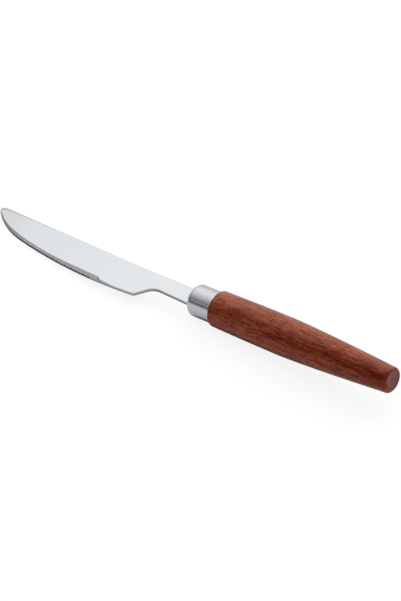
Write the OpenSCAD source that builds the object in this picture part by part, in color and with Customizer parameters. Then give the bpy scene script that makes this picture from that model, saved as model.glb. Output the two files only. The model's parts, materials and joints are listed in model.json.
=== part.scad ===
// Dinner knife with a stamped blade, a drawn metal ferrule and a turned wooden handle.
// It lies as it comes to rest on a table: +X runs from the point to the butt along the handle,
// the cutting edge faces -Y, +Z is up, and the origin is on the table under the middle of the knife.

/* [Blade] */
// Length of the blade and shank, from the front of the ferrule to the point
blade_len = 122; // [100:1:148]
// Thickness of the sheet that the blade is stamped from
blade_t = 1.6; // [1.2:0.1:2]
// Depth of the cutting edge below the handle's axis, at its deepest place
edge_drop = 12.5; // [10.4:0.1:15]
// Distance from the ferrule to the deepest place of the edge
belly_at = 47; // [39:1:56]
// Radius of the sweep that carries the edge up to the point
sweep_r = 49; // [40:1:59]
// Angle between the handle's axis and the normal of the edge where it meets the point
sweep_angle = 50; // [46:1:54]
// Radius of the rounded point
point_r = 2; // [1.6:0.1:2.4]
// Distance from the ferrule to where the spine starts to rise
spine_bend_at = 35; // [29:1:42]
// Angle of the rising part of the spine
spine_rise = 1.45; // [0:0.05:2.5]
// Distance from the ferrule to the corner of the heel
heel_at = 26.4; // [24:0.1:31.6]
// Slant of the heel, measured from square to the axis
heel_slant = 34; // [28:1:41]
// Radius in the notch between the heel and the shank
notch_r = 6.4; // [5.3:0.1:7.7]

/* [Cutting edge] */
// Width of the ground strip along the edge
bevel_w = 1.7; // [1.4:0.1:2]
// Depth of the ground strip at the edge
bevel_depth = 0.5; // [0.4:0.1:0.8]
// Distance from the ferrule to where the ground strip runs out
bevel_from = 48; // [40:1:57]
// Distance from the ferrule to the first tooth
teeth_from = 52.2; // [44:0.1:62]
// Number of teeth
teeth = 21; // [1:1:25]
// Spacing of the teeth along the edge
tooth_pitch = 1.9; // [1.6:0.1:2.2]
// Radius of the scallop between two teeth
tooth_r = 0.8; // [0.7:0.1:0.9]
// Depth of the scallop
tooth_depth = 0.3; // [0.2:0.05:0.4]

/* [Shank and tang] */
// Height of the shank where it enters the ferrule
shank_h = 9.2; // [7.7:0.1:11]
// Height of the shank at its waist beside the notch
waist_h = 8.5; // [7.1:0.1:10.2]
// Width of the hidden tang
tang_w = 6; // [5:0.1:7.2]
// Length of the hidden tang behind its shoulders
tang_len = 58; // [48:1:70]
// Length of the tapered end of the tang
tang_taper = 8; // [6:1:10]
// Width of the tang at its end
tang_end_w = 3; // [2.5:0.1:3.6]

/* [Ferrule] */
// Outer diameter of the ferrule
ferrule_d = 14.6; // [13:0.1:17.6]
// Length of the ferrule
ferrule_len = 12.8; // [10.6:0.1:15.4]
// Wall of the drawn cup
ferrule_wall = 0.7; // [0.5:0.05:0.9]
// Radius of its rounded front edge
ferrule_round = 1.9; // [1.5:0.1:2.3]

/* [Handle] */
// Length of the handle behind the ferrule
handle_len = 94.5; // [78:0.5:114]
// How far the front of the handle stands proud of the ferrule, on the radius
shoulder_step = 0.95; // [0.8:0.05:1.15]
// Radius of the rounded front shoulder
shoulder_r = 1.4; // [1.2:0.1:1.7]
// How far the handle swells behind its shoulder, on the radius
swell = 0.4; // [0:0.05:1]
// Distance from the ferrule to the thickest place
swell_at = 38; // [31:1:46]
// Diameter of the handle at the butt
butt_d = 11.4; // [9.5:0.1:13.7]
// How late the taper to the butt sets in
taper_power = 1.35; // [1.1:0.05:1.65]
// Radius of the rounded edge of the butt
butt_round = 1.3; // [1:0.1:1.6]

/* [Fits] */
// Gap around the shank in the slot of the ferrule
slot_gap = 0.1; // [0.05:0.05:0.2]
// Gap on the radius between the ferrule and the spigot inside it
spigot_gap = 0.05; // [0.02:0.01:0.1]
// Space inside the front of the ferrule, behind its rounded edge
cap_gap = 0.4; // [0.2:0.1:0.8]
// Least thickness of adhesive around the tang
glue_gap = 0.2; // [0.1:0.05:0.3]
// Room in the bore past the end of the tang
bore_end_gap = 2; // [1:0.5:3]

/* [Rest on a table] */
// How far the round handle rolls over to let the edge down to the table, in degrees
lie_roll = 8.5; // [0:0.5:12]

/* [Hidden] */
$fn = 96;
over = 0.5;
steel = [0.87, 0.88, 0.89];
satin = [0.74, 0.76, 0.78];
wood = [0.47, 0.24, 0.17];
resin = [0.80, 0.71, 0.48];

// Outlines of the blade are in blade axes: forward from the ferrule, then depth towards the edge.
function arc(centre, r, from, to, steps) =
    [for (i = [0:steps]) let (a = from + (to - from) * i / steps) centre + r * [cos(a), sin(a)]];

// The rounded point touches the spine and ends at the blade's length.
spine_run = (blade_len - point_r * (1 + sin(spine_rise)) - spine_bend_at) / cos(spine_rise);
point_c = [
    blade_len - point_r,
    -shank_h / 2 - spine_run * sin(spine_rise) + point_r * cos(spine_rise)
];
// The sweep runs into the point, and the long belly curve runs into the sweep.
sweep_c = point_c - (sweep_r - point_r) * [cos(sweep_angle), sin(sweep_angle)];
sweep_off = sweep_c - [belly_at, edge_drop];
belly_r = (sweep_r * sweep_r - sweep_off * sweep_off) / (2 * (sweep_off[1] + sweep_r));
belly_c = [belly_at, edge_drop - belly_r];
belly_end = atan2(sweep_c[1] - belly_c[1], sweep_c[0] - belly_c[0]);
function belly_angle(at) = acos((at - belly_at) / belly_r);

// The heel slants back from the edge and blends into the waist of the shank.
heel = belly_c + belly_r * [cos(belly_angle(heel_at)), sin(belly_angle(heel_at))];
waist = waist_h - shank_h / 2;
heel_foot = waist + notch_r * (1 - sin(heel_slant));
notch_c = [
    heel[0] - (heel[1] - heel_foot) * tan(heel_slant) - notch_r * cos(heel_slant),
    waist + notch_r
];

// The spigot of the handle starts clear of the rounding inside the ferrule,
// and the shoulders of the tang seat on its front face.
spigot_at = ferrule_round + cap_gap;
ferrule_r = ferrule_d / 2;
ferrule_ri = ferrule_r - ferrule_wall;
ferrule_round_i = ferrule_round - ferrule_wall;
spigot_r = ferrule_ri - spigot_gap;
bore_r = sqrt(tang_w * tang_w + blade_t * blade_t) / 2 + glue_gap;
bore_end = spigot_at + tang_len + bore_end_gap;

tang_outline = [
    [-spigot_at, shank_h / 2],
    [-spigot_at, tang_w / 2],
    [-spigot_at - tang_len + tang_taper, tang_w / 2],
    [-spigot_at - tang_len, tang_end_w / 2],
    [-spigot_at - tang_len, -tang_end_w / 2],
    [-spigot_at - tang_len + tang_taper, -tang_w / 2],
    [-spigot_at, -tang_w / 2],
    [-spigot_at, -shank_h / 2]
];
edge_outline = concat(
    arc(point_c, point_r, -90 - spine_rise, sweep_angle, 16),
    arc(sweep_c, sweep_r, sweep_angle, belly_end, 24),
    arc(belly_c, belly_r, belly_end, belly_angle(heel_at), 32)
);
blade_outline = concat(
    tang_outline,
    [[spine_bend_at, -shank_h / 2]],
    edge_outline,
    arc(notch_c, notch_r, -heel_slant, -90, 10),
    [[0, shank_h / 2]]
);

// Profiles of the turned pieces are in handle axes: back from the front of the ferrule, then radius.
front_r = ferrule_r + shoulder_step;
thick_r = front_r + swell;
butt_r = butt_d / 2;
butt_at = ferrule_len + handle_len;
shoulder_turn = asin(1 - shoulder_step / shoulder_r);
shoulder_run = shoulder_r * cos(shoulder_turn);

// Radius of the handle at a distance behind the ferrule.
function handle_r(s) = s < swell_at
    ? thick_r - swell * pow((swell_at - s) / (swell_at - shoulder_run), 2)
    : thick_r - (thick_r - butt_r) * pow((s - swell_at) / (handle_len - swell_at), taper_power);

handle_steps = 40;
barrel_run = handle_len - shoulder_run - butt_round;
barrel = [
    for (i = [0:handle_steps])
        let (s = shoulder_run + barrel_run * i / handle_steps) [ferrule_len + s, handle_r(s)]
];
shoulder_c = [ferrule_len + shoulder_run, front_r - shoulder_r];
butt_c = [butt_at - butt_round, handle_r(handle_len - butt_round) - butt_round];
handle_surface = concat(
    arc(shoulder_c, shoulder_r, 180 - shoulder_turn, 95, 8),
    barrel,
    arc(butt_c, butt_round, 80, 0, 8)
);
handle_profile = concat(
    [[spigot_at, 0], [spigot_at, spigot_r], [ferrule_len, spigot_r]],
    handle_surface,
    [[butt_at, 0]]
);
cap_round = arc([ferrule_round, ferrule_ri - ferrule_round_i], ferrule_round_i, 90, 180, 8);
ferrule_profile = concat(
    [[0, 0]],
    arc([ferrule_round, ferrule_r - ferrule_round], ferrule_round, 180, 90, 12),
    [[ferrule_len, ferrule_r], [ferrule_len, ferrule_ri]],
    cap_round,
    [[ferrule_wall, 0]]
);
cap_profile = concat([[spigot_at, 0], [spigot_at, ferrule_ri]], cap_round, [[ferrule_wall, 0]]);

// The table touches the handle and the blade, which gives the pitch.
blade_low = [
    for (p = edge_outline) [-p[0], -p[1] * sin(lie_roll) - blade_t / 2 * cos(lie_roll)]
];
lie_pitch = atan(max([
    for (h = handle_surface) min([for (b = blade_low) (h[1] + b[1]) / (h[0] - b[0])])
]));
low_z = min([for (h = handle_surface) h[0] * sin(lie_pitch) - h[1] * cos(lie_pitch)]);
back_x = max([for (h = handle_surface) h[0] * cos(lie_pitch) + h[1] * sin(lie_pitch)]);
front_x = min([for (b = blade_low) b[0] * cos(lie_pitch) - b[1] * sin(lie_pitch)]);
edge_y = -edge_drop * cos(lie_roll) - blade_t / 2 * sin(lie_roll);
rest_shift = [-(back_x + front_x) / 2, -(thick_r + edge_y) / 2, -low_z];

module lying() {
    translate(rest_shift)
        rotate([lie_roll, -lie_pitch, 0])
            children();
}

module in_blade_axes() {
    rotate([0, 0, 180])
        children();
}

module turned(profile) {
    rotate([0, 90, 0])
        rotate_extrude()
            polygon([for (p = profile) [p[1], p[0]]]);
}

module blade_blank() {
    translate([0, 0, -blade_t / 2])
        linear_extrude(blade_t)
            polygon(blade_outline);
}

// Section of the ground strip, swept along one arc of the edge.
module ground_arc(centre, r, from, to) {
    slope = bevel_depth / bevel_w;
    translate([centre[0], centre[1], blade_t / 2])
        rotate([0, 0, from])
            rotate_extrude(angle = to - from, $fn = 360)
                polygon([
                    [r - bevel_w, 0],
                    [r + over, -bevel_depth - over * slope],
                    [r + over, over],
                    [r - bevel_w, over]
                ]);
}

// Rounded end of the ground strip.
module ground_end(centre, r, at) {
    translate([centre[0], centre[1], blade_t / 2])
        rotate([0, 0, at])
            translate([r, 0, -bevel_depth]) {
                cylinder(h = bevel_depth, r1 = 0, r2 = bevel_w);
                translate([0, 0, bevel_depth])
                    cylinder(h = over, r = bevel_w);
            }
}

module teeth_row() {
    step = tooth_pitch / belly_r * 180 / PI;
    for (i = [0:teeth - 1])
        translate(belly_c)
            rotate([0, 0, belly_angle(teeth_from) - i * step])
                translate([belly_r + tooth_r - tooth_depth, 0, -blade_t])
                    cylinder(h = 2 * blade_t, r = tooth_r, $fn = 24);
}

// Blade, shank and tang, stamped in one piece and ground on the upper face.
module blade() {
    color(steel)
        lying()
            in_blade_axes()
                difference() {
                    blade_blank();
                    ground_arc(belly_c, belly_r, belly_end, belly_angle(bevel_from));
                    ground_arc(sweep_c, sweep_r, sweep_angle, belly_end);
                    ground_end(belly_c, belly_r, belly_angle(bevel_from));
                    teeth_row();
                }
}

// Drawn cup that closes the front of the handle, with a slot for the shank.
module ferrule() {
    slot_h = shank_h + 2 * slot_gap;
    slot_t = blade_t + 2 * slot_gap;
    color(satin)
        lying()
            difference() {
                turned(ferrule_profile);
                translate([-over, -slot_h / 2, -slot_t / 2])
                    cube([ferrule_round + over, slot_h, slot_t]);
            }
}

// Turned handle with a spigot inside the ferrule and a bore for the tang.
module handle() {
    color(wood)
        lying()
            difference() {
                turned(handle_profile);
                translate([spigot_at - over, 0, 0])
                    rotate([0, 90, 0])
                        cylinder(h = bore_end - spigot_at + over, r = bore_r);
            }
}

// Cured adhesive around the tang in the bore, and in the front of the ferrule.
module tang_adhesive() {
    color(resin)
        lying()
            difference() {
                union() {
                    turned(cap_profile);
                    translate([spigot_at, 0, 0])
                        rotate([0, 90, 0])
                            cylinder(h = bore_end - spigot_at, r = bore_r);
                }
                in_blade_axes()
                    blade_blank();
            }
}

blade();
ferrule();
handle();
tang_adhesive();
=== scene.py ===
import json
import math

import bpy
import numpy as np
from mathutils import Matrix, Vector


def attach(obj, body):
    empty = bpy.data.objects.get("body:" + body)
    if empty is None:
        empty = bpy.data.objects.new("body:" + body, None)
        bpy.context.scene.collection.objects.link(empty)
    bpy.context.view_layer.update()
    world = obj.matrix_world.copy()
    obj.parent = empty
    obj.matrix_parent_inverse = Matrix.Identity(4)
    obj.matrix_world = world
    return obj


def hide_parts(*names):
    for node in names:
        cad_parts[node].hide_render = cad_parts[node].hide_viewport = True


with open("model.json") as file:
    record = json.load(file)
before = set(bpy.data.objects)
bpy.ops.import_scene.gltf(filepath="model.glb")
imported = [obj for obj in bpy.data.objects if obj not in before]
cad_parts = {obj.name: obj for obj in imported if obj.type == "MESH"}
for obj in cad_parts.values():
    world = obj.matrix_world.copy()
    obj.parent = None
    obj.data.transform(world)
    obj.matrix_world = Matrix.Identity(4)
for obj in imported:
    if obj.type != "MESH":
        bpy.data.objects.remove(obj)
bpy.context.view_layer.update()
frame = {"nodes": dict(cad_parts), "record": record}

# Sizes of the CAD model that the meshes follow, in millimetres and degrees
BLADE_LEN = 122
BLADE_T = 1.6
EDGE_DROP = 12.5
BELLY_AT = 47
SWEEP_R = 49
SWEEP_ANGLE = 50
POINT_R = 2
SPINE_BEND_AT = 35
SPINE_RISE = 1.45
HEEL_AT = 26.4
HEEL_SLANT = 34
NOTCH_R = 6.4
TEETH_FROM = 52.2
TEETH = 21
TOOTH_PITCH = 1.9
TOOTH_R = 0.8
TOOTH_DEPTH = 0.3
SHANK_H = 9.2
WAIST_H = 8.5
TANG_W = 6
TANG_LEN = 58
TANG_TAPER = 8
TANG_END_W = 3
FERRULE_R = 7.3
FERRULE_LEN = 12.8
FERRULE_WALL = 0.7
FERRULE_ROUND = 1.9
HANDLE_LEN = 94.5
SHOULDER_STEP = 0.95
SHOULDER_R = 1.4
SWELL = 0.4
SWELL_AT = 38
BUTT_R = 5.7
TAPER_POWER = 1.35
BUTT_ROUND = 1.3
SLOT_GAP = 0.1
SPIGOT_GAP = 0.05
CAP_GAP = 0.4
GLUE_GAP = 0.2
BORE_END_GAP = 2

SPIGOT_AT = FERRULE_ROUND + CAP_GAP
BUTT_AT = FERRULE_LEN + HANDLE_LEN
BARREL_FROM = SHOULDER_R * math.cos(math.asin(1 - SHOULDER_STEP / SHOULDER_R))

# Finer shapes of the blade that only the looks need, in millimetres; places on the blade are
# measured forward from the ferrule's front
EDGE_SOFT = 0.12
SPINE_SOFT = 0.3
TANG_SOFT = 0.1
FACE_RIM = 0.3
POINT_RIM = 1.5
RIM_FROM = 40
HEEL_CORNER = 0.95
BEVEL_FROM = 46
BEVEL_TO = 121
BEVEL_W_HEEL = 2.05
BEVEL_W_MIDDLE = 1.42
BEVEL_W_POINT = 0.5
BEVEL_HEEL_TO = 60
BEVEL_MIDDLE_FROM = 80
BEVEL_MIDDLE_TO = 104
BEVEL_POINT_FROM = 119
BEVEL_RUN_IN = 3.4
BEVEL_RUN_OUT = 3
BEVEL_TAIL_FROM = 36
BEVEL_TAIL_W = 0.7
STRIP_BLEND = 4 * EDGE_SOFT
LAND_FROM = 46
LAND_TO = 54
TEETH_FADE_FROM = 78
TEETH_FADE_TO = 92

# Shares and powers of those shapes; the outline's facing is 1 towards the edge and -1 towards the
# spine
BEVEL_SLOPE = 0.27
BURNISHED_PART = 0.45
TOOTH_LEAST = 0.35
GULLET_FOOT = 0.15
GULLET_MIDDLE = 0.6
STRIP_CREASE = 0.6
LAND_FACING = -0.5
RIM_FACING = (-0.3, 0.0, 0.45, 0.8)
RIM_SHARE = (1, 0.87, 0.78, 0)
RIM_FALL = 4
POINT_FALL = 12

# Tones round the blade: 0 is the sheet's face, 1 a sheared wall and 2 the dark wall below the strip,
# which darkens between two places in millimetres and between two shares of a tooth's depth. The dark
# wall below the strip, and the wall's tone given to the rim and the rounded edges, are painted shade
RIM_TONE = 0.75
POINT_TONE = 0.8
POINT_DARKER = 0.35
ROUNDED_TONE = 0.8
ROUNDED_LEAST = 0.4
BURNISHED_TONE = 0.5
WALL_DARKER = 1.5
WALL_DARKER_AT_TEETH = 0.8
WALL_DARKER_FROM = 82
WALL_DARKER_TO = 92
GULLET_DARK_FROM = 0.15
GULLET_DARK_TO = 0.65

# Finer shapes of the ferrule and the handle, in millimetres and degrees
SLOT_LIP = 0.12
SLOT_CORNER_POWER = 0.2
FRONT_ROUND = 2.1
FERRULE_LIP = 0.3
FERRULE_BAND = 0.5
FACET_GAP = 0.005
SHOULDER_CURVE = 1.0
SHOULDER_EDGE = 0.93
SHOULDER_END_TILT = 3
BUTT_START_TILT = 82

# Where the ferrule's front is matte with painted shade and where it has a painted highlight, by its
# tilt in degrees from its side, and the shares there; the line of painted shade on its upper side
# begins and is full at a height that is a share of the radius
DULL_AND_SHADE = 0.55
DULL_AND_SHADE_FROM = 65
DULL_AND_SHADE_TO = 85
RIM_LINE = 0.45
RIM_LINE_AT = 13
RIM_LINE_FULL_WITHIN = 3.6
RIM_LINE_ENDS_AT = 12.6
RIM_LINE_LOW = 0.3
RIM_LINE_HIGH = 0.8
FRONT_HIGHLIGHT = 0.7
FRONT_HIGHLIGHT_FROM = 18
FRONT_HIGHLIGHT_TO = 32

# The same for the handle: its worn butt, which also has a painted highlight, its joint darkened by
# painted shade by the tilt of the shoulder, and the shares with which the end grain starts
BUTT_WEAR_AND_HIGHLIGHT = 0.3
JOINT_SHADE_FROM = 12
JOINT_SHADE_TO = 48
END_GRAIN_START = (0.2, 0.45, 0.75)

# How finely the meshes follow the shapes: steps in millimetres, and numbers of points or rings
POINT_STEP = 0.15
SWEEP_STEP = 0.4
BELLY_STEP = 0.125
CORNER_POINTS = 11
HEEL_STEP = 0.5
NOTCH_STEP = 0.3
SHANK_STEP = 1.5
SPINE_STEP = 2
LOWER_RINGS = 3
UPPER_RINGS = 4
AROUND = 192
FRONT_STEP = 0.15
LIP_STEP = 0.05
INSIDE_STEP = 0.3
SHOULDER_ARC_STEP = 0.12
BARREL_RINGS = 121
BUTT_STEP = 0.15

MM = 0.001


def mount(name):
    return next(m for m in frame["record"]["mounts"] if m["name"] == name)


# Knife axes: X along the handle from the point to the butt, Y away from the edge, Z up from the
# blade, with the origin at the middle of the ferrule's front
along = np.array(mount("butt_face")["axis"])
upward = -np.array(mount("blade_flat")["axis"])
knife_axes = np.column_stack((along, np.cross(upward, along), upward))
knife_origin = np.array(mount("butt_face")["pos_m"]) - along * BUTT_AT * MM


def grade(value, start, end):
    """Goes from 0 at the start to 1 at the end, and no further."""
    return np.clip((value - start) / (end - start), 0, 1)


def arc(centre, radius, start, end, step):
    """Points of an arc, about one step apart; the angles are in degrees."""
    count = max(2, math.ceil(radius * abs(math.radians(end - start)) / step))
    turn = np.radians(np.linspace(start, end, count + 1))
    return np.column_stack((centre[0] + radius * np.cos(turn), centre[1] + radius * np.sin(turn)))


def line(start, end, step):
    """Points of a straight run, about one step apart, without its last point."""
    count = max(1, math.ceil(math.dist(start, end) / step))
    return np.linspace(start, end, count, endpoint=False)


def loft(name, rings, sharp, fields, face_fields=None, ring_joint=False):
    """A piece skinned over closed rings of knife-axes points in millimetres.

    The ends are closed with flat faces, or joined to each other if ring_joint is set. sharp marks the
    ring points whose edge along the ring is a crease, fields are numbers kept at each ring point, and
    face_fields are numbers kept on each face between two rings.
    """
    rings = np.asarray(rings, float)
    levels, count = rings.shape[:2]
    spans = levels if ring_joint else levels - 1
    index = np.arange(levels * count).reshape(levels, count)
    following = np.roll(index, -1, axis=1)
    above = np.roll(index, -1, axis=0)
    above_following = np.roll(following, -1, axis=0)
    quads = np.stack((index, following, above_following, above), axis=2)[:spans].reshape(-1, 4)
    faces = quads.tolist()
    if not ring_joint:
        faces += [index[0][::-1].tolist(), index[-1].tolist()]
    points = rings.reshape(-1, 3)
    placed = knife_origin + (points * MM) @ knife_axes.T
    mesh = bpy.data.meshes.new(name)
    mesh.from_pydata(placed.tolist(), [], faces)
    mesh.shade_smooth()
    ends = np.empty(len(mesh.edges) * 2, int)
    mesh.edges.foreach_get("vertices", ends)
    ends = ends.reshape(-1, 2)
    same_ring = ends[:, 0] // count == ends[:, 1] // count
    crease = sharp.reshape(-1)[ends].all(axis=1) & same_ring
    marks = mesh.attributes.new("sharp_edge", "BOOLEAN", "EDGE")
    marks.data.foreach_set("value", crease)
    place = mesh.attributes.new("knife", "FLOAT_VECTOR", "POINT")
    place.data.foreach_set("vector", points.astype(np.float32).ravel())
    for field, values in fields.items():
        kept = mesh.attributes.new(field, "FLOAT", "POINT")
        kept.data.foreach_set("value", np.asarray(values, np.float32).ravel())
    for field, values in (face_fields or {}).items():
        on_faces = np.zeros(len(mesh.polygons), np.float32)
        on_faces[: len(quads)] = np.asarray(values, np.float32).ravel()
        kept = mesh.attributes.new(field, "FLOAT", "FACE")
        kept.data.foreach_set("value", on_faces)
    piece = bpy.data.objects.new(name, mesh)
    bpy.context.scene.collection.objects.link(piece)
    return piece


# Blade


def round_ramp(share):
    """Rises from 0 to 1 as a quarter of a circle does."""
    share = np.clip(share, 0, 1)
    return np.sqrt(share * (2 - share))


def strip_width(at):
    """Width of the ground strip at places along the edge: a thin tail, a round start, then a taper."""
    places = (BEVEL_HEEL_TO, BEVEL_MIDDLE_FROM, BEVEL_MIDDLE_TO, BEVEL_POINT_FROM)
    taper = np.interp(at, places, (BEVEL_W_HEEL, BEVEL_W_MIDDLE, BEVEL_W_MIDDLE, BEVEL_W_POINT))
    run_in = round_ramp((at - BEVEL_FROM) / BEVEL_RUN_IN)
    run_out = round_ramp((BEVEL_TO - at) / BEVEL_RUN_OUT)
    tail = BEVEL_TAIL_W * grade(at, BEVEL_TAIL_FROM, BEVEL_FROM)
    return np.maximum(taper * run_in, tail) * run_out


def tooth_depth(run, at):
    """Depth of the scalloped teeth, by the run along the edge from the first and the place forward."""
    tooth = np.clip(np.round(run / TOOTH_PITCH), 0, TEETH - 1)
    aside = np.minimum(np.abs(run - tooth * TOOTH_PITCH), TOOTH_R)
    scallop = np.maximum(TOOTH_DEPTH - TOOTH_R + np.sqrt(TOOTH_R**2 - aside**2), 0)
    return scallop * np.maximum(grade(at, TEETH_FADE_TO, TEETH_FADE_FROM), TOOTH_LEAST)


def blade_outline():
    """The blade's outline in blade axes, forward from the ferrule and then towards the edge.

    Returns its points, the width of the ground strip at each and the depth of the teeth at each.
    """
    rise = math.radians(SPINE_RISE)
    spine_run = (BLADE_LEN - POINT_R * (1 + math.sin(rise)) - SPINE_BEND_AT) / math.cos(rise)
    spine = -SHANK_H / 2
    spine_end = spine - spine_run * math.sin(rise)
    point_c = np.array([BLADE_LEN - POINT_R, spine_end + POINT_R * math.cos(rise)])
    sweep_turn = math.radians(SWEEP_ANGLE)
    sweep_c = point_c - (SWEEP_R - POINT_R) * np.array([math.cos(sweep_turn), math.sin(sweep_turn)])
    off = sweep_c - np.array([BELLY_AT, EDGE_DROP])
    belly_r = (SWEEP_R**2 - off @ off) / (2 * (off[1] + SWEEP_R))
    belly_c = np.array([BELLY_AT, EDGE_DROP - belly_r])
    belly_end = math.degrees(math.atan2(*(sweep_c - belly_c)[::-1]))

    def belly_angle(at):
        return math.degrees(math.acos((at - BELLY_AT) / belly_r))

    def belly_point(at):
        turn = math.radians(belly_angle(at))
        return belly_c + belly_r * np.array([math.cos(turn), math.sin(turn)])

    heel = belly_point(HEEL_AT)
    slant = math.radians(HEEL_SLANT)
    waist = WAIST_H - SHANK_H / 2
    heel_foot = waist + NOTCH_R * (1 - math.sin(slant))
    notch_x = heel[0] - (heel[1] - heel_foot) * math.tan(slant) - NOTCH_R * math.cos(slant)
    notch_c = np.array([notch_x, waist + NOTCH_R])

    # The heel's corner is rounded between a place on the edge and one on the slanted heel.
    corner_from = belly_point(HEEL_AT + HEEL_CORNER)
    corner_to = heel - HEEL_CORNER * np.array([math.sin(slant), math.cos(slant)])
    share = np.linspace(0, 1, CORNER_POINTS)[:, None]
    corner = (1 - share) ** 2 * corner_from + 2 * share * (1 - share) * heel + share**2 * corner_to

    tang_back = -SPIGOT_AT - TANG_LEN
    taper_at = tang_back + TANG_TAPER
    tang = [
        (-SPIGOT_AT, SHANK_H / 2),
        (-SPIGOT_AT, TANG_W / 2),
        (taper_at, TANG_W / 2),
        (tang_back, TANG_END_W / 2),
        (tang_back, -TANG_END_W / 2),
        (taper_at, -TANG_W / 2),
        (-SPIGOT_AT, -TANG_W / 2),
    ]
    bend = (SPINE_BEND_AT, spine)
    spine_tip = (point_c[0] - POINT_R * math.sin(rise), spine_end)
    point = arc(point_c, POINT_R, -90 - SPINE_RISE, SWEEP_ANGLE, POINT_STEP)
    sweep = arc(sweep_c, SWEEP_R, SWEEP_ANGLE, belly_end, SWEEP_STEP)
    belly = arc(belly_c, belly_r, belly_end, belly_angle(HEEL_AT + HEEL_CORNER), BELLY_STEP)
    notch = arc(notch_c, NOTCH_R, -HEEL_SLANT, -90, NOTCH_STEP)
    edge = np.concatenate((sweep[1:], belly[1:]))
    before = np.concatenate((
        tang,
        line((-SPIGOT_AT, spine), bend, SPINE_STEP),
        line(bend, spine_tip, SPINE_STEP),
        point,
    ))
    after = np.concatenate((
        corner[1:-1],
        line(corner_to, notch[0], HEEL_STEP),
        notch,
        line(notch[-1], (0, SHANK_H / 2), SHANK_STEP)[1:],
        [(0, SHANK_H / 2)],
    ))
    outline = np.concatenate((before, edge, after))

    at = edge[:, 0]
    turn = np.arctan2(edge[:, 1] - belly_c[1], edge[:, 0] - belly_c[0])
    run = belly_r * (math.radians(belly_angle(TEETH_FROM)) - turn)
    on_edge = slice(len(before), len(before) + len(edge))
    width = np.zeros(len(outline))
    width[on_edge] = strip_width(at)
    teeth = np.zeros(len(outline))
    teeth[on_edge] = tooth_depth(run, at)
    return outline, width, teeth


def inward(outline):
    """Vectors that carry each point of a closed outline one millimetre inside its two sides."""
    side = np.roll(outline, -1, axis=0) - outline
    side /= np.linalg.norm(side, axis=1)[:, None]
    normal = np.column_stack((-side[:, 1], side[:, 0]))
    before = np.roll(normal, 1, axis=0)
    return (normal + before) / (1 + (normal * before).sum(axis=1))[:, None]


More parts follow.
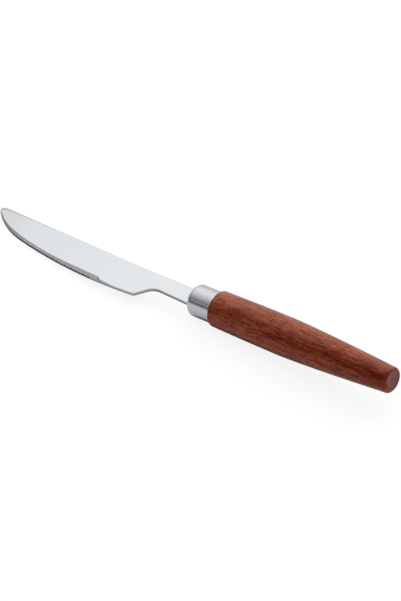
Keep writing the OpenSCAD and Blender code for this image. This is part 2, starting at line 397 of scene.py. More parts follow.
def make_blade():
    """The stamped blade with its shank and tang, sheared edges, ground strip and teeth.

    Its rings go up from a rim on the lower face over the lower rounding, the wall and the upper
    rounding or ground strip, to a rim on the upper face. The fields say how far round the outline a
    point lies, how deep in a gullet it is, which faces are ground, and the tone of the others.
    """
    outline, width, teeth = blade_outline()
    inner = inward(outline)
    forward = outline[:, 0]
    soft = np.where(forward < 0, TANG_SOFT, np.where(outline[:, 1] < 0, SPINE_SOFT, EDGE_SOFT))
    strip = grade(width, 0, STRIP_BLEND)
    depth = np.maximum(width * BEVEL_SLOPE, EDGE_SOFT)
    top = BLADE_T / 2

    lower = [
        (GULLET_FOOT * teeth + soft * (1 - math.cos(bend)), -top + soft * (1 - math.sin(bend)))
        for bend in np.radians(np.linspace(90, 0, LOWER_RINGS))
    ]
    upper = []
    for share in np.linspace(0, 1, UPPER_RINGS):
        bend = math.radians(90 * share)
        rounded = (soft * (1 - math.cos(bend)), top - soft * (1 - math.sin(bend)))
        ground = (teeth + (width - teeth) * share, top - depth * (1 - share))
        upper.append(tuple(r + (g - r) * strip for r, g in zip(rounded, ground)))
    wall_foot = lower[-1][1]
    wall_head = upper[0][1]
    burnished_foot = wall_head - BURNISHED_PART * (wall_head - wall_foot)

    # The upper rim widens and darkens towards the point and round it, but not along the edge; the
    # darkening is painted shade.
    faces_edge = np.clip(-inner[:, 1], -1, 1)
    faces_forward = np.clip(-inner[:, 0], 0, 1)
    to_point = grade(forward, RIM_FROM, BLADE_LEN)
    round_point = to_point**POINT_FALL * (1 - strip) * (1 + POINT_DARKER * faces_forward)
    rim_share = to_point * np.interp(faces_edge, RIM_FACING, RIM_SHARE)
    rim = FACE_RIM + (POINT_RIM - FACE_RIM) * rim_share**RIM_FALL
    levels = [
        (lower[0][0] + FACE_RIM, np.full(len(outline), -top)),
        *lower,
        (GULLET_MIDDLE * teeth, burnished_foot),
        *upper,
        (upper[-1][0] + rim, np.full(len(outline), top)),
    ]
    rings = [np.column_stack((-outline - inner * inset[:, None], height)) for inset, height in levels]
    burnished = 1 + LOWER_RINGS
    first_upper = burnished + 1
    last_upper = burnished + UPPER_RINGS

    on_strip = strip > STRIP_CREASE
    sharp = np.zeros((len(rings), len(outline)), bool)
    sharp[[first_upper, last_upper]] = on_strip
    strip_faces = on_strip & np.roll(on_strip, -1)
    spans = (len(rings) - 1, len(outline))
    ground = np.zeros(spans)
    ground[first_upper:last_upper] = strip_faces

    land = grade(forward, LAND_FROM, LAND_TO) * grade(faces_edge, LAND_FACING, 0)
    past_teeth = grade(forward, WALL_DARKER_FROM, WALL_DARKER_TO)
    in_gullet = grade(teeth / TOOTH_DEPTH, GULLET_DARK_FROM, GULLET_DARK_TO)
    darker = WALL_DARKER_AT_TEETH + (WALL_DARKER - WALL_DARKER_AT_TEETH) * past_teeth
    darker += (WALL_DARKER - darker) * in_gullet
    # The rim and the rounded upper edges take part of a sheared wall's tone as painted shade.
    rounded = np.maximum(ROUNDED_TONE * rim_share, round_point)
    sheared_and_shade = np.zeros(spans)
    sheared_and_shade[1:burnished] = 1 + land
    sheared_and_shade[burnished] = BURNISHED_TONE + darker * land
    sheared_and_shade[first_upper:last_upper] = np.where(strip_faces, 0, np.maximum(ROUNDED_LEAST, rounded))
    sheared_and_shade[last_upper] = np.maximum(RIM_TONE * rim_share**2, POINT_TONE * round_point)

    length = np.linalg.norm(np.roll(outline, -1, axis=0) - outline, axis=1)
    run = np.concatenate(([0], np.cumsum(length)[:-1]))
    cut = np.ones(len(rings))
    cut[:burnished] = GULLET_FOOT
    cut[burnished] = GULLET_MIDDLE
    fields = {
        "run": np.tile(run, (len(rings), 1)),
        "gullet": cut[:, None] * teeth / TOOTH_DEPTH,
    }
    face_fields = {"ground": ground, "sheared_and_shade": sheared_and_shade}
    return loft("knife_blade", rings, sharp, fields, face_fields)


# Ferrule

around_turn = np.linspace(0, 2 * math.pi, AROUND, endpoint=False)


def circle(at, radius):
    """A ring about the handle's axis, just inside the facets of the CAD model's round faces."""
    inside = radius - FACET_GAP
    wide = inside * np.cos(around_turn)
    high = inside * np.sin(around_turn)
    return np.column_stack((np.full(AROUND, at), wide, high))


def slot(at, grow):
    """A ring round the slot for the shank, with its corners a little rounded."""
    half_h = SHANK_H / 2 + SLOT_GAP + grow
    half_t = BLADE_T / 2 + SLOT_GAP + grow
    wide = half_h * np.sign(np.cos(around_turn)) * np.abs(np.cos(around_turn)) ** SLOT_CORNER_POWER
    thick = half_t * np.sign(np.sin(around_turn)) * np.abs(np.sin(around_turn)) ** SLOT_CORNER_POWER
    return np.column_stack((np.full(AROUND, at), wide, thick))


def make_ferrule():
    """The drawn cup in front of the handle, slotted for the shank and open behind.

    The fields say how much painted highlight its rounded edges have, and how matte and darkened by
    painted shade it is in front, in the slot and along a line on its upper side, where the front's
    rounding ends.
    """
    inner_r = FERRULE_R - FERRULE_WALL
    inner_round = FERRULE_ROUND - FERRULE_WALL
    slot_rings = [slot(FERRULE_WALL, 0), slot(SLOT_LIP, 0), slot(0, SLOT_LIP)]
    front = arc((FRONT_ROUND, FERRULE_R - FRONT_ROUND), FRONT_ROUND, 180, 90, FRONT_STEP)
    band = [(FERRULE_LEN - FERRULE_BAND, FERRULE_R)]
    lip_c = (FERRULE_LEN - FERRULE_LIP, FERRULE_R - FERRULE_LIP)
    lip = arc(lip_c, FERRULE_LIP, 90, 0, LIP_STEP)
    inside = arc((FERRULE_ROUND, inner_r - inner_round), inner_round, 90, 180, INSIDE_STEP)
    profile = np.concatenate((front, band, lip, [(FERRULE_LEN, inner_r)], inside))
    rings = slot_rings + [circle(at, radius) for at, radius in profile]

    front_from = len(slot_rings)
    lip_from = front_from + len(front) + len(band)
    lip_to = lip_from + len(lip)
    on_front = slice(front_from, front_from + len(front))
    tilt = np.linspace(90, 0, len(front))
    # Painted shade: a line on the upper side, the slot and the front face.
    rim_line = RIM_LINE * grade(np.abs(tilt - RIM_LINE_AT), RIM_LINE_ENDS_AT, RIM_LINE_FULL_WITHIN)
    upper_side = grade(np.sin(around_turn), RIM_LINE_LOW, RIM_LINE_HIGH)
    dull_and_shade = np.zeros((len(rings), AROUND))
    dull_and_shade[:front_from] = DULL_AND_SHADE
    dull_and_shade[on_front] = DULL_AND_SHADE * grade(tilt, DULL_AND_SHADE_FROM, DULL_AND_SHADE_TO)[:, None] + np.outer(rim_line, upper_side)
    # Painted highlight on the front rounding and the rear lip.
    wear_and_highlight = np.zeros((len(rings), AROUND))
    wear_and_highlight[on_front] = FRONT_HIGHLIGHT * grade(tilt, FRONT_HIGHLIGHT_FROM, FRONT_HIGHLIGHT_TO)[:, None]
    wear_and_highlight[lip_from:lip_to] = 1
    sharp = np.zeros((len(rings), AROUND), bool)
    sharp[[0, front_from - 1, lip_to]] = True
    fields = {"wear_and_highlight": wear_and_highlight, "dull_and_shade": dull_and_shade}
    return loft("knife_ferrule", rings, sharp, fields, ring_joint=True)


# Handle


def handle_radius(behind):
    """Radius of the handle at a distance behind the ferrule."""
    front_r = FERRULE_R + SHOULDER_STEP
    thick_r = front_r + SWELL
    if behind < SWELL_AT:
        return thick_r - SWELL * ((SWELL_AT - behind) / (SWELL_AT - BARREL_FROM)) ** 2
    share = (behind - SWELL_AT) / (HANDLE_LEN - SWELL_AT)
    return thick_r - (thick_r - BUTT_R) * share**TAPER_POWER


def make_handle():
    """The turned barrel, with its spigot in the ferrule and the bore that takes the tang.

    The fields say where its butt is worn and has a painted highlight, where painted shade darkens
    the joint with the ferrule, and where the end grain is open.
    """
    spigot_r = FERRULE_R - FERRULE_WALL - SPIGOT_GAP
    bore_r = math.hypot(TANG_W, BLADE_T) / 2 + GLUE_GAP
    bore_end = SPIGOT_AT + TANG_LEN + BORE_END_GAP
    hidden = [
        (bore_end, bore_r),
        (SPIGOT_AT, bore_r),
        (SPIGOT_AT, spigot_r),
        (FERRULE_LEN, spigot_r),
    ]
    turn = math.degrees(math.asin(1 - SHOULDER_EDGE / SHOULDER_CURVE))
    run = SHOULDER_CURVE * math.cos(math.radians(turn))
    shoulder_c = (FERRULE_LEN + run, FERRULE_R + SHOULDER_EDGE - SHOULDER_CURVE)
    shoulder = arc(shoulder_c, SHOULDER_CURVE, 180 - turn, 90 + SHOULDER_END_TILT, SHOULDER_ARC_STEP)
    barrel = [
        (FERRULE_LEN + behind, handle_radius(behind))
        for behind in np.linspace(BARREL_FROM, HANDLE_LEN - BUTT_ROUND, BARREL_RINGS)
    ]
    butt_c = (BUTT_AT - BUTT_ROUND, handle_radius(HANDLE_LEN - BUTT_ROUND) - BUTT_ROUND)
    butt = arc(butt_c, BUTT_ROUND, BUTT_START_TILT, 0, BUTT_STEP)
    face = [(BUTT_AT, butt[-1][1] - FACE_RIM)]
    profile = np.concatenate((hidden, shoulder, barrel, butt, face))
    rings = [circle(at, radius) for at, radius in profile]

    shoulder_from = len(hidden)
    tilt = np.linspace(90 - turn, SHOULDER_END_TILT, len(shoulder))
    # Painted shade at the joint, on the shoulder.
    joint_shade = np.zeros((len(rings), AROUND))
    joint_shade[shoulder_from: shoulder_from + len(shoulder)] = grade(tilt, JOINT_SHADE_FROM, JOINT_SHADE_TO)[:, None]
    # Wear with a painted highlight on the butt's rounding.
    wear_and_highlight = np.zeros((len(rings), AROUND))
    wear_and_highlight[-len(face) - len(butt): -len(face)] = BUTT_WEAR_AND_HIGHLIGHT
    flat_from = len(rings) - len(face) - 1
    end_grain = np.zeros((len(rings), AROUND))
    end_grain[flat_from:] = 1
    end_grain[flat_from - len(END_GRAIN_START): flat_from] = np.array(END_GRAIN_START)[:, None]
    sharp = np.zeros((len(rings), AROUND), bool)
    sharp[: shoulder_from + 1] = True
    fields = {"wear_and_highlight": wear_and_highlight, "joint_shade": joint_shade, "end_grain": end_grain}
    return loft("knife_handle", rings, sharp, fields)


# Nodes that the materials are built of


def add(tree, kind, settings=None, **inputs):
    """A new node; an input named as its socket is, or by its place as i0, i1..., is set or linked."""
    made = tree.nodes.new(kind)
    for name, value in (settings or {}).items():
        setattr(made, name, value)
    for name, value in inputs.items():
        socket = made.inputs[int(name[1:])] if name[1:].isdigit() else made.inputs[name]
        if isinstance(value, bpy.types.NodeSocket):
            tree.links.new(value, socket)
        else:
            socket.default_value = value
    return made


def math_node(tree, operation, *values, clamp=False):
    inputs = {f"i{place}": value for place, value in enumerate(values)}
    settings = {"operation": operation, "use_clamp": clamp}
    return add(tree, "ShaderNodeMath", settings, **inputs).outputs[0]


def vector_math(tree, operation, *values):
    inputs = {f"i{place}": value for place, value in enumerate(values)}
    output = "Value" if operation in ("DOT_PRODUCT", "LENGTH") else "Vector"
    return add(tree, "ShaderNodeVectorMath", {"operation": operation}, **inputs).outputs[output]


def attribute(tree, name, output="Fac"):
    return add(tree, "ShaderNodeAttribute", {"attribute_name": name}).outputs[output]


def coordinate(tree, place, axis):
    return add(tree, "ShaderNodeSeparateXYZ", None, Vector=place).outputs[axis]


def noise(tree, place, waves, detail=2.0, roughness=0.5, output="Fac"):
    """Soft noise; waves is how many it has along each axis in one unit of the place."""
    scaled = add(tree, "ShaderNodeMapping", None, Vector=place, Scale=waves).outputs[0]
    made = add(
        tree, "ShaderNodeTexNoise", None,
        Vector=scaled, Scale=1.0, Detail=detail, Roughness=roughness,
    )
    return made.outputs[output]


def weighted(tree, *parts):
    """The sum of values, each of them given with its weight."""
    total = 0.0
    for value, weight in parts:
        total = math_node(tree, "MULTIPLY_ADD", value, weight, total)
    return total


def remap(tree, value, between, to=(0.0, 1.0), smooth=False):
    """Carries a value from one range to another, and holds it at the ends."""
    settings = {"interpolation_type": "SMOOTHSTEP" if smooth else "LINEAR"}
    made = add(
        tree, "ShaderNodeMapRange", settings,
        Value=value, i1=between[0], i2=between[1], i3=to[0], i4=to[1],
    )
    return made.outputs[0]


def mix_value(tree, share, first, second):
    return add(tree, "ShaderNodeMix", None, i0=share, i2=first, i3=second).outputs[0]


def mix_colour(tree, share, first, second):
    """Mixes two colours, each of them a socket or a linear red, green and blue."""
    first, second = (
        colour if isinstance(colour, bpy.types.NodeSocket) else (*colour, 1)
        for colour in (first, second)
    )
    made = add(tree, "ShaderNodeMix", {"data_type": "RGBA"}, i0=share, i6=first, i7=second)
    return made.outputs[2]


def tint(tree, colour, target, value, between, share=1.0, smooth=False):
    """Mixes a target colour in, from none of it to a share of it as a value goes between two ends."""
    return mix_colour(tree, remap(tree, value, between, (0.0, share), smooth), colour, target)


def bump(tree, height, distance):
    return add(tree, "ShaderNodeBump", None, Height=height, Distance=distance, Strength=1.0).outputs[0]


def mirrored_rays(tree):
    """1 for a ray that comes from a reflection or through glass."""
    ray = add(tree, "ShaderNodeLightPath").outputs
    return math_node(tree, "ADD", ray["Is Glossy Ray"], ray["Is Transmission Ray"], clamp=True)


def camera_rays(tree):
    """1 for a ray that comes straight from the camera."""
    return add(tree, "ShaderNodeLightPath").outputs["Is Camera Ray"]


def new_material(name, **shader_inputs):
    """A material with its own node tree and shader; underscores in an input's name are spaces."""
    material = bpy.data.materials.new(name)
    material.use_nodes = True
    shader = material.node_tree.nodes["Principled BSDF"]
    for socket, value in shader_inputs.items():
        shader.inputs[socket.replace("_", " ")].default_value = value
    return material, material.node_tree, shader


def wire(tree, shader, **shader_inputs):
    """Links values to inputs of a shader; underscores in an input's name are spaces."""
    for socket, value in shader_inputs.items():
        tree.links.new(value, shader.inputs[socket.replace("_", " ")])


# Ranges that most of a noise lies in
NOISE_WIDE = (0.2, 0.8)
NOISE_MIDDLE = (0.25, 0.75)
NOISE_CORE = (0.35, 0.65)

# Blade steel: linear colours, with where along the blade a tint comes in, in millimetres in front of
# the ferrule, and its share; reliefs here and below are in metres
FACE_DARK = (0.425, 0.44, 0.455)
FACE_LIGHT = (0.505, 0.52, 0.535)
# The face is darker towards the point and lighter by the shank: painted shade and painted light
FACE_POINT_SHADE = (0.41, 0.42, 0.435)
FACE_POINT_SHADE_RUN = (90, BLADE_LEN)
FACE_SHANK_LIGHT = (0.515, 0.53, 0.545)
FACE_SHANK_LIGHT_RUN = (75, 15)
FACE_SHANK_LIGHT_SHARE = 0.5
STRIP_DARK = (0.105, 0.105, 0.117)
STRIP_LIGHT = (0.409, 0.409, 0.442)
STRIP_POINT = (0.165, 0.168, 0.187)
STRIP_POINT_RUN = (94, 108)
STRIP_POINT_SHARE = 0.8
STRIP_START = (0.12, 0.12, 0.135)
STRIP_START_RUN = (48.6, 47.2)
STRIP_START_SHARE = 0.45
# Sheared walls: darker than the face, partly for their torn finish and partly as painted shade
SHEAR_DARK = (0.25, 0.25, 0.257)
SHEAR_LIGHT = (0.42, 0.42, 0.43)
# Darker still by the shank: painted shade
SHEAR_SHANK_SHADE = (0.14, 0.14, 0.145)
SHEAR_SHANK_SHADE_RUN = (28, 14)
SHEAR_SHANK_SHADE_SHARE = 0.65
# The wall below the strip: its dark tones, darker towards the point and in the gullets, are painted
# shade
LAND_DARK = (0.05, 0.05, 0.053)
LAND_LIGHT = (0.1, 0.1, 0.106)
LAND_POINT_SHADE = (0.02, 0.02, 0.022)
LAND_POINT_SHADE_RUN = (88, 102)
LAND_POINT_SHADE_SHARE = 0.8
GULLET_SHADE = (0.01, 0.01, 0.011)
GULLET_SHADE_DEPTH = (0.2, 0.8)
FACE_ROUGH = (0.2, 0.28)
STRIP_ROUGH = (0.34, 0.46)
SHEAR_ROUGHER = 0.2
TEAR_WEIGHT = 2.0
BLADE_RELIEF = 0.000004


def blade_steel():
    """Satin stainless sheet with brushed faces, torn sheared walls and wheel marks on the strip.

    The wall below the strip is matte and dark, and darkest in the gullets between the teeth; this
    dark is painted shade.
    """
    material, tree, shader = new_material("blade_steel", Specular_IOR_Level=0.0)
    place = attribute(tree, "knife", "Vector")
    forward = math_node(tree, "MULTIPLY", coordinate(tree, place, "X"), -1.0)
    edge_place = add(tree, "ShaderNodeCombineXYZ", None, X=attribute(tree, "run")).outputs[0]
    ground = attribute(tree, "ground")
    sheared_and_shade = attribute(tree, "sheared_and_shade")
    sheared_and_shaded = math_node(tree, "MINIMUM", sheared_and_shade, 1.0)
    is_land = math_node(tree, "SUBTRACT", sheared_and_shade, 1.0, clamp=True)

    brushing = noise(tree, place, (0.06, 9.0, 1.0), detail=4.0, roughness=0.6)
    cloud = noise(tree, place, (0.05, 0.09, 0.05))
    wheel = noise(tree, edge_place, (0.35, 1.0, 1.0), detail=5.0, roughness=0.8)
    tear = noise(tree, edge_place, (1.3, 1.0, 1.0), detail=4.0, roughness=0.7)
    face_tone = weighted(tree, (brushing, 0.5), (cloud, 0.5))

    face = mix_colour(tree, face_tone, FACE_DARK, FACE_LIGHT)
    # Painted shade towards the point and painted light by the shank.
    face = tint(tree, face, FACE_POINT_SHADE, forward, FACE_POINT_SHADE_RUN, smooth=True)
    face = tint(tree, face, FACE_SHANK_LIGHT, forward, FACE_SHANK_LIGHT_RUN, FACE_SHANK_LIGHT_SHARE)
    strip = mix_colour(tree, wheel, STRIP_DARK, STRIP_LIGHT)
    strip = tint(tree, strip, STRIP_POINT, forward, STRIP_POINT_RUN, STRIP_POINT_SHARE)
    strip = tint(tree, strip, STRIP_START, forward, STRIP_START_RUN, STRIP_START_SHARE, smooth=True)
    shear = mix_colour(tree, tear, SHEAR_DARK, SHEAR_LIGHT)
    # Painted shade on the sheared walls by the shank.
    shear = tint(tree, shear, SHEAR_SHANK_SHADE, forward, SHEAR_SHANK_SHADE_RUN, SHEAR_SHANK_SHADE_SHARE)
    # Painted shade on the wall below the strip.
    land = mix_colour(tree, tear, LAND_DARK, LAND_LIGHT)
    land = tint(tree, land, LAND_POINT_SHADE, forward, LAND_POINT_SHADE_RUN, LAND_POINT_SHADE_SHARE)
    land = tint(tree, land, GULLET_SHADE, attribute(tree, "gullet"), GULLET_SHADE_DEPTH, smooth=True)
    colour = mix_colour(tree, ground, face, strip)
    colour = mix_colour(tree, sheared_and_shaded, colour, shear)
    colour = mix_colour(tree, is_land, colour, land)

    face_rough = remap(tree, face_tone, NOISE_MIDDLE, FACE_ROUGH)
    strip_rough = remap(tree, wheel, NOISE_WIDE, STRIP_ROUGH)
    rough = mix_value(tree, ground, face_rough, strip_rough)
    rough = math_node(tree, "MULTIPLY_ADD", sheared_and_shaded, SHEAR_ROUGHER, rough)
    torn = math_node(tree, "MULTIPLY", sheared_and_shaded, tear)
    marks = mix_value(tree, ground, brushing, wheel)
    marks = math_node(tree, "MULTIPLY_ADD", torn, TEAR_WEIGHT, marks)
    wire(
        tree, shader,
        Base_Color=colour,
        Metallic=math_node(tree, "SUBTRACT", 1.0, is_land),
        Roughness=rough,
        Normal=bump(tree, marks, BLADE_RELIEF),
    )
    return material


# Ferrule steel: linear colours, and the share of the painted highlight
TURNED_DARK = (0.39, 0.40, 0.42)
TURNED_LIGHT = (0.49, 0.495, 0.51)
# A painted highlight on the ferrule's rims.
TURNED_HIGHLIGHT = (0.68, 0.67, 0.66)
TURNED_HIGHLIGHT_SHARE = 0.7
# Painted shade in front, in the slot and along a line on the upper side.
TURNED_SHADE = (0.2, 0.203, 0.21)
TURNED_ROUGH = (0.17, 0.23)
DULL_ROUGHER = 0.25
TURNED_RELIEF = 0.000003


def ferrule_steel():
    """Softly polished metal, turned round its circumference, with a painted highlight on its rims,
    and matte with painted shade in front and in the slot.
    """
    material, tree, shader = new_material("ferrule_steel", Metallic=1.0)
    place = attribute(tree, "knife", "Vector")
    dull_and_shade = attribute(tree, "dull_and_shade")
    worn_and_highlight = math_node(tree, "MULTIPLY", attribute(tree, "wear_and_highlight"), TURNED_HIGHLIGHT_SHARE)
    turning = noise(tree, place, (7.0, 0.12, 0.12), detail=4.0, roughness=0.6)
    cloud = noise(tree, place, (0.25, 0.2, 0.2), detail=3.0)
    tone = weighted(tree, (cloud, 0.6), (turning, 0.4))
    colour = mix_colour(tree, tone, TURNED_DARK, TURNED_LIGHT)
    # Painted highlight on the rims.
    colour = mix_colour(tree, worn_and_highlight, colour, TURNED_HIGHLIGHT)
    # Painted shade in front, in the slot and along the line on the upper side.
    colour = mix_colour(tree, dull_and_shade, colour, TURNED_SHADE)
    rough = remap(tree, tone, NOISE_MIDDLE, TURNED_ROUGH)
    rough = math_node(tree, "MULTIPLY_ADD", dull_and_shade, DULL_ROUGHER, rough)
    wire(tree, shader, Base_Color=colour, Roughness=rough, Normal=bump(tree, turning, TURNED_RELIEF))
    return material


# Handle wood: linear colours, with the tones at which the first three are reached; places are in
# millimetres along the knife, across its layers or to its sides
WOOD_DARK = (0.183, 0.0165, 0.0022)
WOOD_DARK_AT = 0.42
WOOD_MIDDLE = (0.358, 0.059, 0.018)
WOOD_MIDDLE_AT = 0.5
WOOD_LIGHT = (0.57, 0.146, 0.07)
WOOD_LIGHT_AT = 0.58
GRAIN_SWING = (0, 5, 5)
FROM_PITH = (0, 21, 12)
# The dark layer along the handle: wood figure, deepened by painted shade
LAYER_AND_SHADE = (0.12, 0.006, 0.0006)
LAYER_ACROSS = (0.0, 0.669, 0.743)
LAYER_HALF = (2.4, 3.9)
LAYER_LOWER_RUN = (20, 70)
LAYER_LOWER = (0.6, 0.0)
LAYER_RUN = (30, 100)
LAYER_SHARE = (0.5, 0.85)
LAYER_STREAKS = (1.0, 0.4)
ABOVE_LAYER = (2.5, 4.0)
# A painted sheen, paler and greyer, on the upper side above the dark layer
SHEEN_DARK = (0.22, 0.08, 0.04)
SHEEN_LIGHT = (0.58, 0.22, 0.135)
SHEEN_TONES = (0.4, 0.6)
SHEEN_RUN = (20, 90)
SHEEN_SHARE = (0.4, 0.22)
# The back side is painted darker as shade
BACK_SHADE = (0.15, 0.036, 0.02)
BACK_SHADE_RUN = (2.4, 5.2)
BACK_SHADE_SHARE = 0.7
BY_BUTT = (0.2, 0.05, 0.03)
BY_BUTT_RUN = (84, 101)
BY_BUTT_SHARE = (0.0, 0.6)
PORE = (0.07, 0.006, 0.0012)
PORE_TONES = (0.56, 0.67)
PORE_SHARE = 0.8
END_DARK = (0.2, 0.045, 0.04)
END_LIGHT = (0.47, 0.135, 0.125)
END_DOWN = (0.0, 0.707, -0.707)
# End face: painted light towards its upper side and painted shade towards its lower side
END_PAINTED_LIGHT = (0.52, 0.15, 0.115)
END_PAINTED_LIGHT_RUN = (-0.5, -4.0)
END_PAINTED_LIGHT_SHARE = 0.6
END_PAINTED_SHADE = (0.12, 0.05, 0.055)
END_PAINTED_SHADE_RUN = (0.5, 4.5)
END_PAINTED_SHADE_SHARE = 0.7
# Where sideways the end grain's colour starts on the butt
END_EDGE_RUN = (-3.7, -3.3)
# Wear on the butt's rounding, lighter also as a painted highlight
WOOD_WORN_AND_HIGHLIGHT = (0.42, 0.12, 0.06)
WOOD_WORN_AND_HIGHLIGHT_SHARE = 0.6
# Painted shade at the joint with the ferrule
JOINT_SHADE = (0.03, 0.008, 0.005)
JOINT_SHADE_SHARE = 0.85
WOOD_ROUGH = (0.1, 0.17)
PORE_ROUGHER = 0.15
END_ROUGHER = 0.15
FIBRE_WEIGHT = 0.3
WOOD_RELIEF = 0.00003


def handle_wood():
    """Oiled reddish-brown hardwood with a dark layer along it, deepened by painted shade, and a
    painted sheen on the side above that.

    Growth rings, ribbons, streaks, fibres and flecks make up its tone. It has open pores, end grain on
    the butt with painted light and shade across it, painted shade on its back side, and a dark line of
    painted shade at the joint with the ferrule.
    """
    material, tree, shader = new_material("handle_wood", Specular_IOR_Level=0.115)
    place = attribute(tree, "knife", "Vector")
    sideways = coordinate(tree, place, "Y")
    end_grain = attribute(tree, "end_grain")

    # The grain wavers a little across the handle.
    waver = noise(tree, place, (0.02, 0.05, 0.05), detail=1.0, output="Color")
    centred = vector_math(tree, "SUBTRACT", waver, (0.5, 0.5, 0.5))
    grain = vector_math(tree, "ADD", place, vector_math(tree, "MULTIPLY", centred, GRAIN_SWING))
    lengthwise = coordinate(tree, grain, "X")
    pith = add(tree, "ShaderNodeMapping", None, Vector=grain, Location=FROM_PITH, Scale=(0, 1, 1))
    ring_at = vector_math(tree, "LENGTH", pith.outputs[0])
    ring_place = add(tree, "ShaderNodeCombineXYZ", None, X=ring_at, Y=lengthwise).outputs[0]

    rings = noise(tree, ring_place, (0.5, 0.012, 1.0), detail=3.0, roughness=0.55)
    ribbon = noise(tree, grain, (0.035, 0.16, 0.16))
    streak = noise(tree, grain, (0.1, 0.8, 0.8), detail=3.0, roughness=0.6)
    fibre = noise(tree, grain, (0.2, 1.5, 1.5), detail=3.0, roughness=0.65)
    fleck = noise(tree, grain, (0.9, 1.9, 1.9), roughness=0.6)
    pores = noise(tree, grain, (0.2, 1.7, 1.7), roughness=0.6)
    pore = remap(tree, pores, PORE_TONES, smooth=True)
    tone = weighted(tree, (rings, 0.11), (ribbon, 0.14), (streak, 0.17), (fibre, 0.31), (fleck, 0.27))
    ramp = add(tree, "ShaderNodeValToRGB", None, Fac=tone)
    stops = ramp.color_ramp.elements
    stops[0].position = WOOD_DARK_AT
    stops[0].color = (*WOOD_DARK, 1)
    stops[1].position = WOOD_LIGHT_AT
    stops[1].color = (*WOOD_LIGHT, 1)
    middle = stops.new(WOOD_MIDDLE_AT)
    middle.color = (*WOOD_MIDDLE, 1)

    # The dark layer is wood figure deepened by painted shade. Its upper side lies a little lower near
    # the ferrule.
    across = vector_math(tree, "DOT_PRODUCT", grain, LAYER_ACROSS)
    over = math_node(tree, "ADD", across, remap(tree, lengthwise, LAYER_LOWER_RUN, LAYER_LOWER))
    from_layer = math_node(tree, "MAXIMUM", over, math_node(tree, "MULTIPLY", across, -1.0))
    layer_and_shade = remap(tree, from_layer, LAYER_HALF, (1.0, 0.0), smooth=True)
    layer_and_shade = math_node(tree, "MULTIPLY", layer_and_shade, remap(tree, lengthwise, LAYER_RUN, LAYER_SHARE))
    layer_and_shade = math_node(tree, "MULTIPLY", layer_and_shade, remap(tree, streak, NOISE_CORE, LAYER_STREAKS))
    colour = mix_colour(tree, layer_and_shade, ramp.outputs[0], LAYER_AND_SHADE)
    above = remap(tree, over, ABOVE_LAYER, smooth=True)
    # Painted sheen on the upper side, above the dark layer.
    painted_sheen = math_node(tree, "MULTIPLY", above, remap(tree, lengthwise, SHEEN_RUN, SHEEN_SHARE))
    sheen_wood = mix_colour(tree, remap(tree, tone, SHEEN_TONES), SHEEN_DARK, SHEEN_LIGHT)
    colour = mix_colour(tree, painted_sheen, colour, sheen_wood)
    # Painted shade on the back side.
    colour = tint(tree, colour, BACK_SHADE, sideways, BACK_SHADE_RUN, BACK_SHADE_SHARE, smooth=True)
    by_butt = remap(tree, lengthwise, BY_BUTT_RUN, BY_BUTT_SHARE, smooth=True)
    colour = mix_colour(tree, math_node(tree, "MULTIPLY", above, by_butt), colour, BY_BUTT)
    colour = mix_colour(tree, math_node(tree, "MULTIPLY", pore, PORE_SHARE), colour, PORE)

    down = vector_math(tree, "DOT_PRODUCT", place, END_DOWN)
    open_end = mix_colour(tree, remap(tree, fleck, NOISE_CORE), END_DARK, END_LIGHT)
    # Painted light towards the end's upper side and painted shade towards its lower side.
    open_end = tint(tree, open_end, END_PAINTED_LIGHT, down, END_PAINTED_LIGHT_RUN, END_PAINTED_LIGHT_SHARE)
    open_end = tint(tree, open_end, END_PAINTED_SHADE, down, END_PAINTED_SHADE_RUN, END_PAINTED_SHADE_SHARE)
    # The end grain's colour shows only sideways past a boundary; elsewhere the side grain's colour
    # stays.
    past_end_edge = remap(tree, sideways, END_EDGE_RUN, smooth=True)
    colour = mix_colour(tree, math_node(tree, "MULTIPLY", end_grain, past_end_edge), colour, open_end)
    # Wear on the butt's rounding, lighter also as a painted highlight.
    worn_and_highlight = math_node(tree, "MULTIPLY", fibre, WOOD_WORN_AND_HIGHLIGHT_SHARE)
    worn_and_highlight = math_node(tree, "MULTIPLY", attribute(tree, "wear_and_highlight"), worn_and_highlight)
    colour = mix_colour(tree, worn_and_highlight, colour, WOOD_WORN_AND_HIGHLIGHT)
    # Painted shade at the joint with the ferrule.
    joint_shade = math_node(tree, "MULTIPLY", attribute(tree, "joint_shade"), JOINT_SHADE_SHARE)
    colour = mix_colour(tree, joint_shade, colour, JOINT_SHADE)

    rough = remap(tree, fibre, NOISE_WIDE, WOOD_ROUGH)
    rough = math_node(tree, "MULTIPLY_ADD", pore, PORE_ROUGHER, rough)
    rough = math_node(tree, "MULTIPLY_ADD", end_grain, END_ROUGHER, rough)
    relief = math_node(tree, "SUBTRACT", math_node(tree, "MULTIPLY", fibre, FIBRE_WEIGHT), pore)
    wire(tree, shader, Base_Color=colour, Roughness=rough, Normal=bump(tree, relief, WOOD_RELIEF))
    return material


# Cured adhesive: linear colours
RESIN_DARK = (0.34, 0.22, 0.07)
RESIN_LIGHT = (0.56, 0.42, 0.2)
RESIN_ROUGH = (0.3, 0.5)
BUBBLE_TONES = (0.3, 0.7)
BUBBLE_RELIEF = 0.00005


def cured_adhesive():
    """Amber resin with small bubbles, hidden in the handle."""
    material, tree, shader = new_material("cured_adhesive", Specular_IOR_Level=0.5)
    place = add(tree, "ShaderNodeTexCoord").outputs["Object"]
    cloud = noise(tree, place, (90, 250, 250), detail=3.0)
    bubbles = noise(tree, place, (1500, 1500, 1500), detail=1.0)
    colour = mix_colour(tree, cloud, RESIN_DARK, RESIN_LIGHT)
    rough = remap(tree, bubbles, BUBBLE_TONES, RESIN_ROUGH)
    wire(tree, shader, Base_Color=colour, Roughness=rough, Normal=bump(tree, bubbles, BUBBLE_RELIEF))
    return material


# Stage

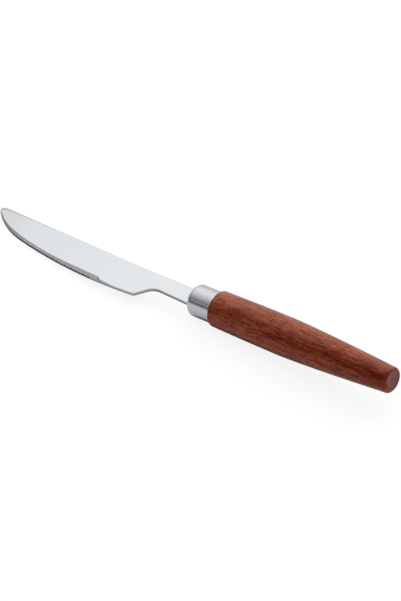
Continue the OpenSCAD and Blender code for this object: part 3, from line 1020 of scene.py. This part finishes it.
# Where the camera stands: it looks at a place on the floor, in metres and degrees. The sensor, in
# millimetres, spans the image's height, which is its longer side.
AIM = Vector((0.00222, 0.01086, 0))
CAMERA_AZIMUTH = 40.461
CAMERA_ELEVATION = 33.882
CAMERA_DISTANCE = 1.2313
FOCAL_PX = 2800.35
IMAGE_H_PX = 601
SENSOR = 36

# The floor, with sizes in metres: its tone and the glow that reflections see, then both as the camera
# sees them, and the shade close to the knife, by how open the floor is there
FLOOR_SIZE = 0.6
FLOOR_TONE = 0.6
FLOOR_LIFT = 0.47
FLOOR_SEEN_TONE = 0.16
FLOOR_SEEN_LIFT = 0.87
CONTACT_REACH = 0.0065
CONTACT_SHADE = (0.49, 0.74)
CONTACT_SAMPLES = 8

# Soft light: a sky that is brightest on one side, with a darker low part, a thin pale streak and a
# fill, and one large lamp; angles are in degrees, and sizes in metres
LIGHT_AZIMUTH = 150
LIGHT_ELEVATION = 47
LIGHT_SPREAD = 86
LIGHT_PEAK = 1.66
LIGHT_LEAST = 0.2
DARK_AZIMUTH = 206
DARK_ELEVATION = 5
DARK_SPREAD = 42
DARK_LEAST = 0.27
STREAK_AZIMUTH = 231.5
STREAK_ELEVATION = 16.5
STREAK_SPREAD = 7
STREAK_PEAK = 0.72
FILL_AZIMUTH = 345
FILL_ELEVATION = 25
FILL_SPREAD = 90
FILL_PEAK = 1.0
LAMP_AZIMUTH = 92
LAMP_ELEVATION = 42
LAMP_DISTANCE = 1.3
LAMP_SIZE = 1.0
LAMP_POWER = 7.0


def direction(azimuth, elevation):
    """A unit vector; the azimuth turns from +X to +Y."""
    turn = math.radians(azimuth)
    tilt = math.radians(elevation)
    return Vector((math.cos(tilt) * math.cos(turn), math.cos(tilt) * math.sin(turn), math.sin(tilt)))


def make_camera():
    lens = bpy.data.cameras.new("camera")
    lens.sensor_width = SENSOR
    lens.lens = FOCAL_PX / IMAGE_H_PX * SENSOR
    camera = bpy.data.objects.new("camera", lens)
    back = direction(CAMERA_AZIMUTH - 90, CAMERA_ELEVATION)
    camera.location = AIM + back * CAMERA_DISTANCE
    camera.rotation_euler = (-back).to_track_quat("-Z", "Y").to_euler()
    bpy.context.scene.collection.objects.link(camera)
    bpy.context.scene.camera = camera


def make_floor():
    """A pale floor that the camera sees white where nothing shades it.

    Metal mirrors it lifted too, but not in the shade where the knife comes close to it.
    """
    half = FLOOR_SIZE / 2
    corners = [(-half, -half, 0), (half, -half, 0), (half, half, 0), (-half, half, 0)]
    mesh = bpy.data.meshes.new("floor")
    mesh.from_pydata(corners, [], [(0, 1, 2, 3)])
    floor = bpy.data.objects.new("floor", mesh)
    bpy.context.scene.collection.objects.link(floor)
    material = bpy.data.materials.new("floor")
    material.use_nodes = True
    tree = material.node_tree
    tree.nodes.clear()
    seen = camera_rays(tree)
    settings = {"samples": CONTACT_SAMPLES}
    contact = add(tree, "ShaderNodeAmbientOcclusion", settings, Distance=CONTACT_REACH).outputs["AO"]
    mirrored = math_node(tree, "MULTIPLY", mirrored_rays(tree), remap(tree, contact, CONTACT_SHADE))
    lift = weighted(tree, (seen, FLOOR_SEEN_LIFT), (mirrored, FLOOR_LIFT))
    tone = mix_value(tree, seen, FLOOR_TONE, FLOOR_SEEN_TONE)
    matte = add(tree, "ShaderNodeBsdfDiffuse", None, Color=tone)
    glow = add(tree, "ShaderNodeEmission", None, Strength=lift)
    both = add(tree, "ShaderNodeAddShader", None, i0=matte.outputs[0], i1=glow.outputs[0])
    add(tree, "ShaderNodeOutputMaterial", None, Surface=both.outputs[0])
    mesh.materials.append(material)


def make_light():
    """The soft sky, which the camera sees white and whose fill only reflections see, and the lamp."""
    world = bpy.data.worlds.new("studio")
    bpy.context.scene.world = world
    world.use_nodes = True
    tree = world.node_tree
    tree.nodes.clear()
    towards = add(tree, "ShaderNodeTexCoord").outputs["Generated"]

    def glow(azimuth, elevation, spread, peak, least):
        """A level that goes from its peak in one direction to its least at the spread."""
        near = vector_math(tree, "DOT_PRODUCT", towards, tuple(direction(azimuth, elevation)))
        angle = math_node(tree, "ARCCOSINE", near)
        return remap(tree, angle, (0.0, math.radians(spread)), (peak, least), smooth=True)

    bright = glow(LIGHT_AZIMUTH, LIGHT_ELEVATION, LIGHT_SPREAD, LIGHT_PEAK, LIGHT_LEAST)
    dark = glow(DARK_AZIMUTH, DARK_ELEVATION, DARK_SPREAD, DARK_LEAST, 1.0)
    streak = glow(STREAK_AZIMUTH, STREAK_ELEVATION, STREAK_SPREAD, STREAK_PEAK, 0.0)
    fill = glow(FILL_AZIMUTH, FILL_ELEVATION, FILL_SPREAD, FILL_PEAK, 0.0)
    fill = math_node(tree, "MULTIPLY", mirrored_rays(tree), fill)
    level = math_node(tree, "MULTIPLY_ADD", bright, dark, fill)
    level = math_node(tree, "ADD", level, streak)
    level = mix_value(tree, camera_rays(tree), level, 1.0)
    sky = add(tree, "ShaderNodeBackground", None, Color=(1, 1, 1, 1), Strength=level)
    add(tree, "ShaderNodeOutputWorld", None, Surface=sky.outputs[0])

    light = bpy.data.lights.new("softbox", "AREA")
    light.size = LAMP_SIZE
    light.energy = LAMP_POWER
    lamp = bpy.data.objects.new("softbox", light)
    side = direction(LAMP_AZIMUTH, LAMP_ELEVATION)
    lamp.location = side * LAMP_DISTANCE
    lamp.rotation_euler = (-side).to_track_quat("-Z", "Y").to_euler()
    bpy.context.scene.collection.objects.link(lamp)


def finish_piece(piece, node, material):
    """Gives a piece its material, hangs it on the root body and hides the CAD node it stands for."""
    piece.data.materials.append(material)
    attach(piece, "root")
    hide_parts(node)


finish_piece(make_blade(), "blade", blade_steel())
finish_piece(make_ferrule(), "ferrule", ferrule_steel())
finish_piece(make_handle(), "handle", handle_wood())
resin = frame["nodes"]["tang_adhesive"]
resin.data.materials.clear()
resin.data.materials.append(cured_adhesive())

make_camera()
make_floor()
make_light()
bpy.context.scene.view_settings.view_transform = "Standard"
